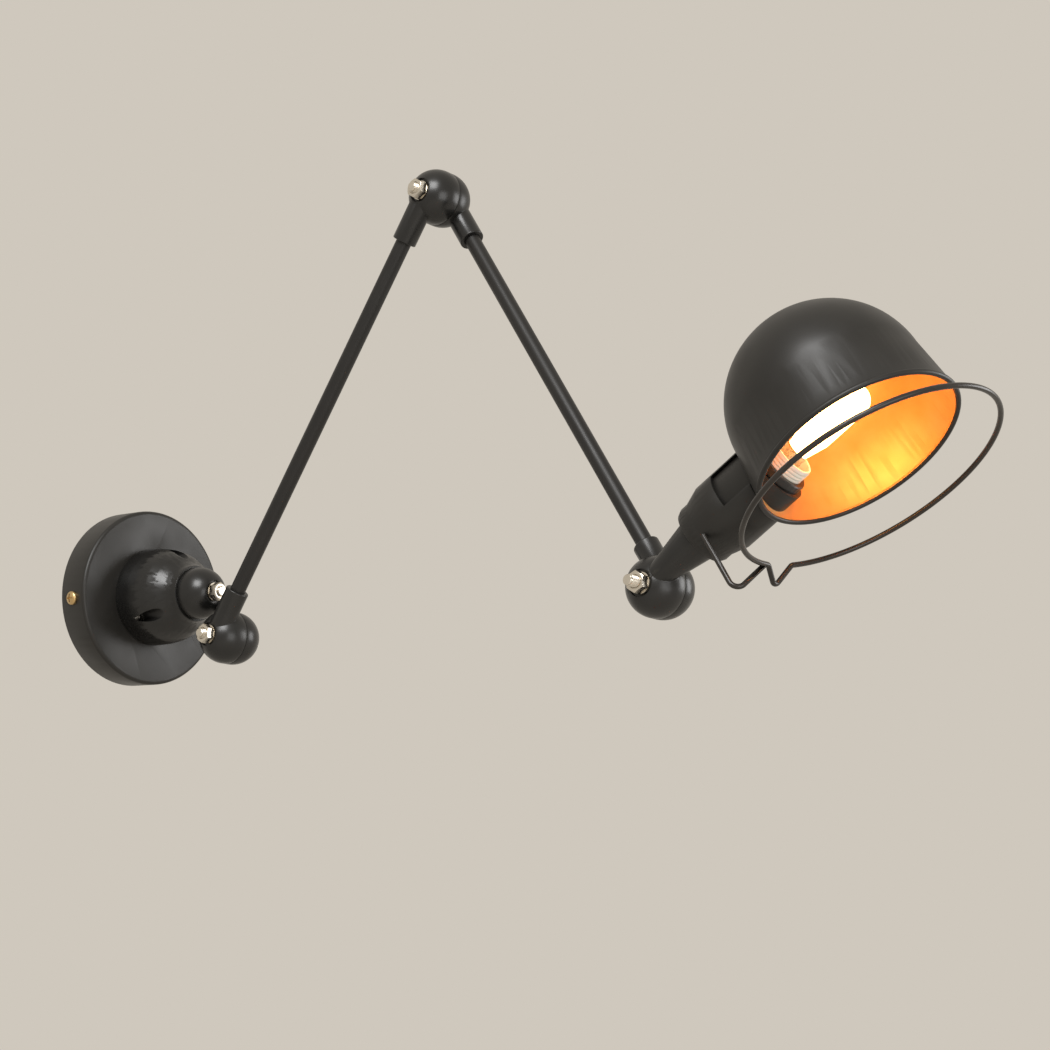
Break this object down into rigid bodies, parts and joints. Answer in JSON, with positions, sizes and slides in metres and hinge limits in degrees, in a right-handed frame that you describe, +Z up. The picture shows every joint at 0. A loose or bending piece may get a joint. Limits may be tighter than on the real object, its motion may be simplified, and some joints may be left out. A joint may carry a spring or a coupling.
{
  "type": "articulated wall lamp",
  "caption": "Wall spot lamp: round canopy, cast boss, two tube arms on clamped ball joints and a domed shade with a wire guard ring.",
  "frame": {"origin": "middle of the wall side of the mounting bracket and canopy, on the wall plane", "axes": "+Z up, +Y into the wall, so the lamp stands out towards -Y; +X to the right of someone facing the wall"},
  "size_m": [0.15, 0.6585, 0.3178],
  "materials": {
    "bracket_zinc": "zinc-plated steel",
    "canopy_paint": "satin black powder coat",
    "side_screw_brass": "plain brass, slightly dull",
    "terminal_plastic": "moulded polyamide",
    "brass": "turned brass",
    "casting_paint": "black stove enamel, half gloss",
    "tube_paint": "satin black powder coat",
    "pocket_screw_nickel": "nickel-plated steel",
    "wire_insulation": "silicone wire insulation",
    "insulating_plate": "pressed phenolic paper",
    "joint_nickel": "bright nickel plate",
    "housing_paint": "satin black powder coat",
    "shade_paint": "satin black powder coat, warm white enamel inside",
    "guard_paint": "satin black powder coat",
    "lampholder_white": "moulded thermoset",
    "ring_plastic": "moulded thermoset",
    "bulb_frosted": "frosted glass",
    "bulb_cap_metal": "pressed metal cap"
  },
  "bodies": {
    "wall_base": {"mounting_bracket": "bracket_zinc", "canopy": "canopy_paint", "canopy_side_screws": "side_screw_brass", "terminal_block": "terminal_plastic", "terminal_inserts": "brass", "earth_screw": "bracket_zinc", "boss": "casting_paint", "boss_screws": "pocket_screw_nickel", "boss_nuts": "bracket_zinc", "swivel_contact_plate": "insulating_plate", "swivel_contact_rings": "brass", "base_wires": "wire_insulation"},
    "swivel": {"knuckle": "casting_paint", "knuckle_wires": "wire_insulation", "swivel_brush_plate": "insulating_plate", "swivel_brushes": "brass", "shoulder_brush_plate": "insulating_plate", "shoulder_brushes": "brass", "swivel_bolt": "joint_nickel", "swivel_washer": "joint_nickel", "swivel_nut": "joint_nickel"},
    "lower_arm": {"shoulder_half": "casting_paint", "lower_arm_tube": "tube_paint", "lower_arm_wires": "wire_insulation", "elbow_lower_half": "casting_paint", "arm_bolts": "joint_nickel", "arm_washers": "joint_nickel", "arm_nuts": "joint_nickel", "shoulder_contact_plate": "insulating_plate", "shoulder_contact_rings": "brass", "elbow_contact_plate": "insulating_plate", "elbow_contact_rings": "brass"},
    "upper_arm": {"elbow_upper_half": "casting_paint", "elbow_brush_plate": "insulating_plate", "elbow_brushes": "brass", "upper_arm_tube": "tube_paint", "upper_arm_wires": "wire_insulation", "head_upper_half": "casting_paint", "head_brush_plate": "insulating_plate", "head_brushes": "brass"},
    "head": {"head_lower_half": "casting_paint", "head_bolt": "joint_nickel", "head_washer": "joint_nickel", "head_nut": "joint_nickel", "head_contact_plate": "insulating_plate", "head_contact_rings": "brass", "housing": "housing_paint", "nipple": "brass", "nipple_nut": "brass", "lampholder": "lampholder_white", "lampholder_contact": "brass", "shade_ring": "ring_plastic", "shade": "shade_paint", "guard_ring": "guard_paint", "guard_bracket": "guard_paint", "head_wires": "wire_insulation", "bulb_cap": "bulb_cap_metal", "bulb_glass": "bulb_frosted"}
  },
  "joints": [
    {"name": "swivel", "type": "hinge", "parent": "wall_base", "child": "swivel", "pos_m": [0, -0.068, 0], "axis": [0, -1, 0], "range_deg": [-120, 120]},
    {"name": "shoulder", "type": "hinge", "parent": "swivel", "child": "lower_arm", "pos_m": [0, -0.104, -0.032], "axis": [-1, 0, 0], "range_deg": [-50, 30]},
    {"name": "elbow", "type": "hinge", "parent": "lower_arm", "child": "upper_arm", "pos_m": [0, -0.27215, 0.24026], "axis": [-1, 0, 0], "range_deg": [-34, 90]},
    {"name": "head_tilt", "type": "hinge", "parent": "upper_arm", "child": "head", "pos_m": [0, -0.4557, -0.02187], "axis": [-1, 0, 0], "range_deg": [-70, 40]}
  ]
}
